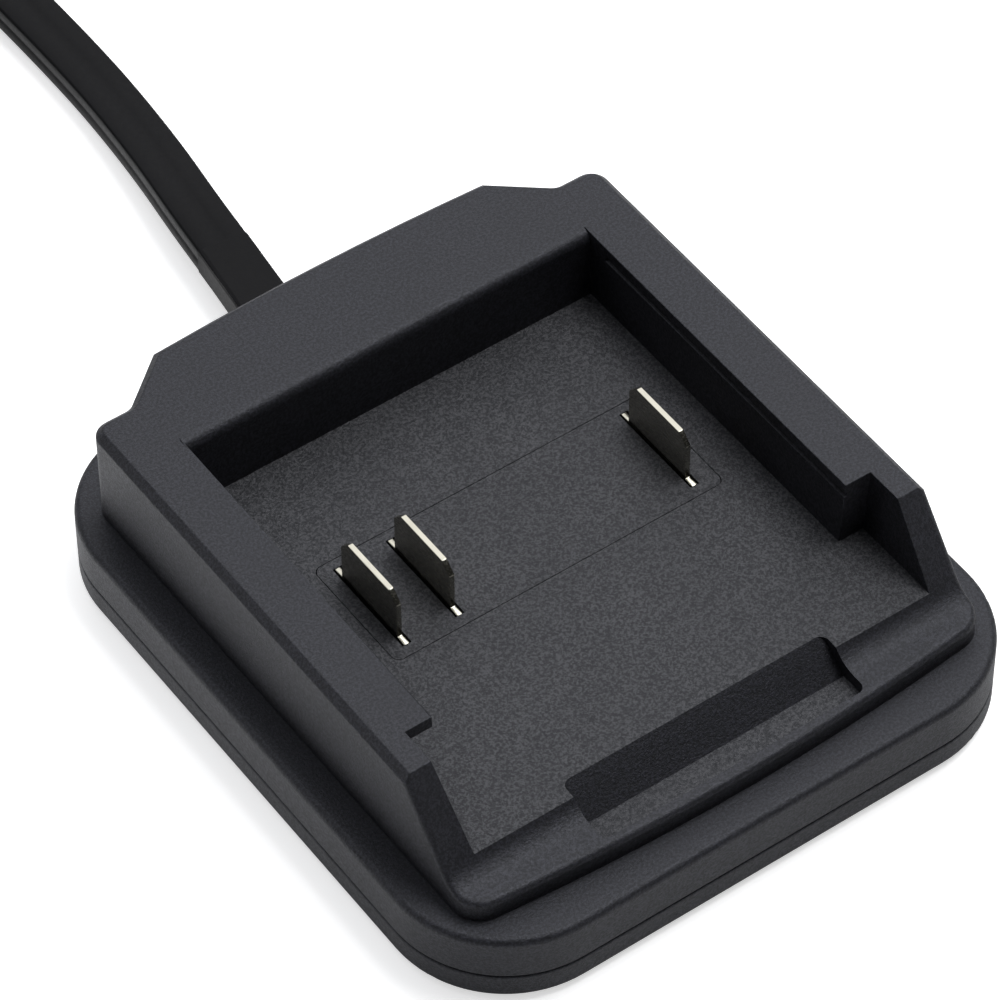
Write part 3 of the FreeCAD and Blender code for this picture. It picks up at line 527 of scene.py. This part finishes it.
class OBJECT_OT_cradle_tray(bpy.types.Operator):
    """Dress the tray, with a stronger grain on its bay floor"""

    bl_idname = "object.cradle_tray"
    bl_label = "Battery Tray"

    def execute(self, context):
        tray = merged_copy("battery_tray", "tray_moulding")
        low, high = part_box("battery_tray")
        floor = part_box("contact_block")[1].z
        # The pocket and the lip run out to nothing or are round already
        rim = floor + ROUNDED_FROM * MM
        round_edges(tray, sizes().tray_edge,
                    lambda start, end: max(start.z, end.z) > rim)
        set_finish(tray, "eroded_abs_fine", "eroded_abs_floor")
        # The bay's floor and the level strip in the pocket have the stronger grain
        half_bay = BAY_REACH * (high.x - low.x)
        for face in tray.data.polygons:
            below = floor - face.center.z
            level = any(abs(below - depth) < LEVEL_REACH * MM
                        for depth in (0.0, POCKET_STRIP_DEPTH * MM))
            inside = abs(face.center.x) < half_bay
            if inside and level and face.normal.z > FACES_UP:
                face.material_index = 1
        place_piece(tray, "housing", "battery_tray")
        return {"FINISHED"}


class OBJECT_OT_cradle_base(bpy.types.Operator):
    """Dress the base's shell and cover, with the fine line where they meet"""

    bl_idname = "object.cradle_base"
    bl_label = "Base"

    def execute(self, context):
        for node, name in (("base_shell", "shell_moulding"),
                           ("base_cover", "cover_moulding")):
            half = merged_copy(node, name)
            # The saddle's step up from the base's floor is finer than the radius,
            # so the edges on the inner face of the rear wall stay sharp
            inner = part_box(node)[1].y - BASE_WALL * MM
            round_edges(half, sizes().base_edge, lambda start, end: max(
                abs(start.y - inner), abs(end.y - inner)) > ON_PLANE)
            set_finish(half, "eroded_abs_fine")
            place_piece(half, "housing", node)
        return {"FINISHED"}


class OBJECT_OT_cradle_contacts(bpy.types.Operator):
    """Dress the contact block and the three stamped blades"""

    bl_idname = "object.cradle_contacts"
    bl_label = "Contacts"

    def execute(self, context):
        block = merged_copy("contact_block", "block_moulding")
        for side in ("positive", "sense", "negative"):
            self.open_slot(block, *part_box("contact_" + side))
        set_finish(block, "eroded_abs_floor")
        place_piece(block, "block", "contact_block")
        for side in ("positive", "sense", "negative"):
            blade = merged_copy("contact_" + side, "blade_" + side)
            round_edges(blade, sizes().blade_edge)
            set_finish(blade, "nickel_plate")
            place_piece(blade, "contact_plating", "contact_" + side)
        return {"FINISHED"}

    def open_slot(self, block, low, high):
        """Widen the slot round one blade, so that it shows as the dark line it is."""
        middle, reach = (low + high) / 2, SLOT_REACH * MM
        choose(block)
        bpy.ops.object.mode_set(mode="EDIT")
        bpy.ops.mesh.select_mode(type="VERT")
        bpy.ops.mesh.select_all(action="DESELECT")
        shape = bmesh.from_edit_mesh(block.data)
        for corner in shape.verts:
            beside = low.x - reach < corner.co.x < high.x + reach
            corner.select_set(beside and low.y - reach < corner.co.y < high.y + reach)
        shape.select_flush(True)
        bmesh.update_edit_mesh(block.data)
        width = high.x - low.x
        bpy.ops.transform.resize(
            value=(1 + 2 * sizes().blade_slot / width, 1.0, 1.0), center_override=middle)
        bpy.ops.mesh.select_all(action="DESELECT")
        bpy.ops.object.mode_set(mode="OBJECT")


class OBJECT_OT_cradle_sleeve(bpy.types.Operator):
    """Dress the strain relief where the cord leaves the base"""

    bl_idname = "object.cradle_sleeve"
    bl_label = "Strain Relief"

    def execute(self, context):
        sleeve = merged_copy("strain_relief", "cord_sleeve")
        self.hollow_flare(sleeve)
        # Inside the base the sleeve's edges stay sharp
        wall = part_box("base_shell")[1].y
        round_edges(sleeve, sizes().sleeve_edge,
                    lambda start, end: min(start.y, end.y) > wall + ON_PLANE)
        set_finish(sleeve, "sleeve_vinyl")
        place_piece(sleeve, "cord_jacket", "strain_relief")
        return {"FINISHED"}

    def hollow_flare(self, sleeve):
        """Draw the flare in, so that it soon runs with the cord."""
        line = Vector(CORD_EXIT) * MM
        lean = (CORD_EXIT[0] - CORD_START[0]) / (CORD_EXIT[1] - CORD_START[1])
        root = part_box("base_shell")[1].y + FLARE_ROOT * MM
        half_width, half_height = 0.5 * sizes().cord_width, 0.5 * sizes().cord_height
        choose(sleeve)
        bpy.ops.object.mode_set(mode="EDIT")
        for share in FLARE_STATIONS:
            station = root + share * (line.y - root)
            bpy.ops.mesh.select_mode(type="VERT")
            bpy.ops.mesh.select_all(action="SELECT")
            bpy.ops.mesh.bisect(plane_co=(0.0, station, 0.0), plane_no=(0.0, 1.0, 0.0))
            bpy.ops.mesh.select_all(action="DESELECT")
            middle = Vector((line.x + lean * (station - line.y), station, line.z))
            # The last station takes all of the tip with it
            to_tip = share == FLARE_STATIONS[-1]
            shape = bmesh.from_edit_mesh(sleeve.data)
            ring = [
                corner for corner in shape.verts
                if (abs(corner.co.y - station) < ON_PLANE
                    or to_tip and corner.co.y > station)
                and (abs(corner.co.x - middle.x) > half_width + HOLE_REACH * MM
                     or abs(corner.co.z - middle.z) > half_height + HOLE_REACH * MM)
            ]
            across = max(abs(corner.co.x - middle.x) for corner in ring)
            up = max(abs(corner.co.z - middle.z) for corner in ring)
            for corner in ring:
                corner.select_set(True)
            shape.select_flush(True)
            bmesh.update_edit_mesh(sleeve.data)
            kept = (1 - share) ** 2
            slim = [
                (half + kept * (now - half)) / now
                for half, now in ((half_width + TIP_WALL[0] * MM, across),
                                  (half_height + TIP_WALL[1] * MM, up))
            ]
            bpy.ops.transform.resize(
                value=(slim[0], 1.0, slim[1]), center_override=middle)
        bpy.ops.mesh.select_all(action="DESELECT")
        bpy.ops.object.mode_set(mode="OBJECT")


class OBJECT_OT_cradle_plug(bpy.types.Operator):
    """Dress the barrel plug and the cord's tie"""

    bl_idname = "object.cradle_plug"
    bl_label = "Plug"

    def execute(self, context):
        carried = [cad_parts["cord_tie"]]
        body_low, body_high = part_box("plug_body")

        def on_body_end(start, end):
            return any(max(abs(start.y - face), abs(end.y - face)) < ON_PLANE
                       for face in (body_low.y, body_high.y))

        for node, name in (("plug_relief", "plug_sleeve"), ("plug_body", "plug_grip")):
            piece = merged_copy(node, name)
            if node == "plug_body":
                round_edges(piece, sizes().plug_edge, on_body_end)
            round_edges(piece, sizes().grip_edge)
            set_finish(piece, "plug_vinyl")
            place_piece(piece, "plug_plastic", node)
            carried.append(piece)
        dress_nodes("nickel_plate", "plug_barrel", "plug_contact")
        dress_nodes("insulator_pbt", "plug_insulator")
        dress_nodes("tie_nylon", "cord_tie")
        carried += [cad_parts[node]
                    for node in ("plug_barrel", "plug_contact", "plug_insulator")]
        return {"FINISHED"}


class OBJECT_OT_cradle_fittings(bpy.types.Operator):
    """Dress the screws, feet, board, solder and leads, which keep their CAD shapes"""

    bl_idname = "object.cradle_fittings"
    bl_label = "Fittings"

    def execute(self, context):
        corners = ("left_front", "right_front", "left_rear", "right_rear")
        dress_nodes("zinc_steel", *["tray_screw_" + place for place in corners],
                    *["cover_screw_" + place for place in corners],
                    "clamp_screw_left", "clamp_screw_right")
        dress_nodes("foot_rubber", *["foot_" + place for place in corners])
        dress_nodes("solder_mask", "circuit_board")
        dress_nodes("component_ceramic", "board_fuse", "board_resistor")
        dress_nodes("tin_solder", "solder_positive", "solder_sense", "solder_negative")
        dress_nodes("lead_red_vinyl", "lead_left")
        dress_nodes("lead_black_vinyl", "lead_right")
        dress_nodes("cord_vinyl", "cord_inner")
        dress_nodes("eroded_abs_fine", "cord_clamp")
        return {"FINISHED"}


class OBJECT_OT_cradle_studio(bpy.types.Operator):
    """Lay the table, and set the lamps, the world and the camera"""

    bl_idname = "object.cradle_studio"
    bl_label = "Studio"

    def execute(self, context):
        self.set_camera(context)
        self.lay_table()
        self.light(context)
        return {"FINISHED"}

    def set_camera(self, context):
        """Set the camera fitted to the straight edges of the tray and the base."""
        place = Vector((-205.387, -284.111, 421.193)) * MM
        right = Vector((0.8128, -0.5826, -0.0039))
        down = Vector((-0.4415, -0.6115, -0.6566))
        ahead = Vector((0.3801, 0.5354, -0.7542))
        bpy.ops.object.camera_add()
        camera = context.object
        camera.name = "photo_camera"
        camera.data.sensor_width = 36.0
        camera.data.lens = 198.0
        camera.data.clip_end = 20.0
        turn = Matrix((right, -down, -ahead)).transposed()
        camera.matrix_world = Matrix.Translation(place) @ turn.to_4x4()
        context.scene.camera = camera

    def lay_table(self):
        """Lay a white table that keeps the cradle's shadow."""
        bpy.ops.object.select_all(action="DESELECT")
        bpy.ops.mesh.primitive_plane_add(size=12.0)
        table = bpy.context.object
        table.name = "table_top"
        material = start_material("painted_table")
        # White paint: the lamps' light keeps the shadow, the rest lifts it to white
        rays = add_node(material, "ShaderNodeLightPath")
        seen = add_node(material, "ShaderNodeMath", {
            0: rays.outputs["Is Camera Ray"], 1: rays.outputs["Is Transmission Ray"],
        }, operation="ADD", use_clamp=True)
        # Painted reflection: for glossy rays only, the table glows brighter behind the
        # cradle and a little to the left, fading from 45 mm behind its middle to 30 mm
        # before it, so the cradle's sheen shows it
        place = add_node(material, "ShaderNodeTexCoord").outputs["Object"]
        behind = add_node(material, "ShaderNodeVectorMath", {
            0: place, 1: (-0.4, 0.92, 0.0),
        }, operation="DOT_PRODUCT")
        painted_reflection_falloff = add_node(material, "ShaderNodeMapRange", {
            "Value": behind.outputs["Value"], "From Min": -30 * MM, "From Max": 45 * MM,
            "To Min": 0.16, "To Max": 0.55,
        }, interpolation_type="SMOOTHSTEP")
        painted_reflection = add_node(material, "ShaderNodeMath", {
            0: rays.outputs["Is Glossy Ray"], 1: painted_reflection_falloff.outputs["Result"],
        }, operation="MULTIPLY")
        # An even white lift for camera rays, plus the painted reflection for glossy rays
        lift = add_node(material, "ShaderNodeMath", {
            0: seen.outputs["Value"], 1: 0.6, 2: painted_reflection.outputs["Value"],
        }, operation="MULTIPLY_ADD")
        paint = add_node(material, "ShaderNodeBsdfDiffuse", {
            "Color": (*colours().floor, 1),
        })
        glow = add_node(material, "ShaderNodeEmission", {
            "Strength": lift.outputs["Value"],
        })
        both = add_node(material, "ShaderNodeAddShader", {
            0: paint.outputs["BSDF"], 1: glow.outputs["Emission"],
        })
        add_node(material, "ShaderNodeOutputMaterial", {
            "Surface": both.outputs["Shader"],
        })
        table.data.materials.append(material)

    def light(self, context):
        """Set the soft room, the three lamps and the view transform."""
        world = bpy.data.worlds.new("soft_room")
        world.use_nodes = True
        world.node_tree.nodes.clear()
        rays = add_node(world, "ShaderNodeLightPath")
        seen = add_node(world, "ShaderNodeMath", {
            0: rays.outputs["Is Camera Ray"], 1: rays.outputs["Is Transmission Ray"],
        }, operation="ADD", use_clamp=True)
        # The room is bright overhead and dims towards the table
        toward = add_node(world, "ShaderNodeTexCoord").outputs["Generated"]
        facing = add_node(world, "ShaderNodeVectorMath", {
            0: toward, 1: (0.2, 0.42, 0.885),
        }, operation="DOT_PRODUCT")
        glow = add_node(world, "ShaderNodeMapRange", {
            "Value": facing.outputs["Value"], "From Min": 0.3, "From Max": 1.0,
            "To Min": 0.015, "To Max": 1.0,
        }, interpolation_type="SMOOTHSTEP")
        strength = add_node(world, "ShaderNodeMix", {
            0: seen.outputs["Value"], 2: glow.outputs["Result"], 3: 1.0,
        }, data_type="FLOAT")
        tint = add_node(world, "ShaderNodeMix", {
            0: seen.outputs["Value"], 6: (0.95, 0.96, 1.0, 1), 7: (1, 1, 1, 1),
        }, data_type="RGBA")
        sky = add_node(world, "ShaderNodeBackground", {
            "Color": tint.outputs[2], "Strength": strength.outputs[0],
        })
        add_node(world, "ShaderNodeOutputWorld", {"Surface": sky.outputs["Background"]})
        context.scene.world = world
        aim = Vector((0.0, 0.0, 10 * MM))
        for name, spot, width, power in (
            ("back_softbox", (0.42, 0.62, 0.78), 0.9, 2.4),
            ("top_softbox", (0.35, -0.04, 0.9), 0.45, 5.3),
            ("rim_strip", (-0.75, 0.55, 0.4), 0.25, 0.5),
        ):
            bpy.ops.object.light_add(type="AREA")
            lamp = context.object
            lamp.name = name
            lamp.data.shape = "SQUARE"
            lamp.data.size = width
            lamp.data.energy = power
            place = Vector(spot)
            turn = (aim - place).to_track_quat("-Z", "Y").to_matrix().to_4x4()
            lamp.matrix_world = Matrix.Translation(place) @ turn
        context.scene.view_settings.view_transform = "Standard"


OPERATORS = (
    OBJECT_OT_cradle_studio, OBJECT_OT_cradle_cord, OBJECT_OT_cradle_tray,
    OBJECT_OT_cradle_base, OBJECT_OT_cradle_contacts, OBJECT_OT_cradle_sleeve,
    OBJECT_OT_cradle_plug, OBJECT_OT_cradle_fittings,
)


class VIEW3D_PT_cradle(bpy.types.Panel):
    """Lists the cradle's pieces, sizes and colours"""

    bl_idname = "VIEW3D_PT_cradle"
    bl_label = "Battery Adapter Cable"
    bl_space_type = "VIEW_3D"
    bl_region_type = "UI"
    bl_category = "Cradle"

    def draw(self, context):
        for operator in OPERATORS:
            self.layout.operator(operator.bl_idname)
        for group in (context.scene.cradle_sizes, context.scene.cradle_colours):
            box = self.layout.box()
            for name in group.bl_rna.properties.keys():
                if name not in ("rna_type", "name"):
                    box.prop(group, name)


CLASSES = (CradleSizes, CradleColours, *OPERATORS, VIEW3D_PT_cradle)


def register():
    for entry in CLASSES:
        bpy.utils.register_class(entry)
    bpy.types.Scene.cradle_sizes = bpy.props.PointerProperty(type=CradleSizes)
    bpy.types.Scene.cradle_colours = bpy.props.PointerProperty(type=CradleColours)


def unregister():
    del bpy.types.Scene.cradle_colours
    del bpy.types.Scene.cradle_sizes
    for entry in reversed(CLASSES):
        bpy.utils.unregister_class(entry)


def main():
    register()
    for operator in OPERATORS:
        group, name = operator.bl_idname.split(".")
        getattr(getattr(bpy.ops, group), name)()
    bpy.context.view_layer.update()


if __name__ == "__main__":
    main()
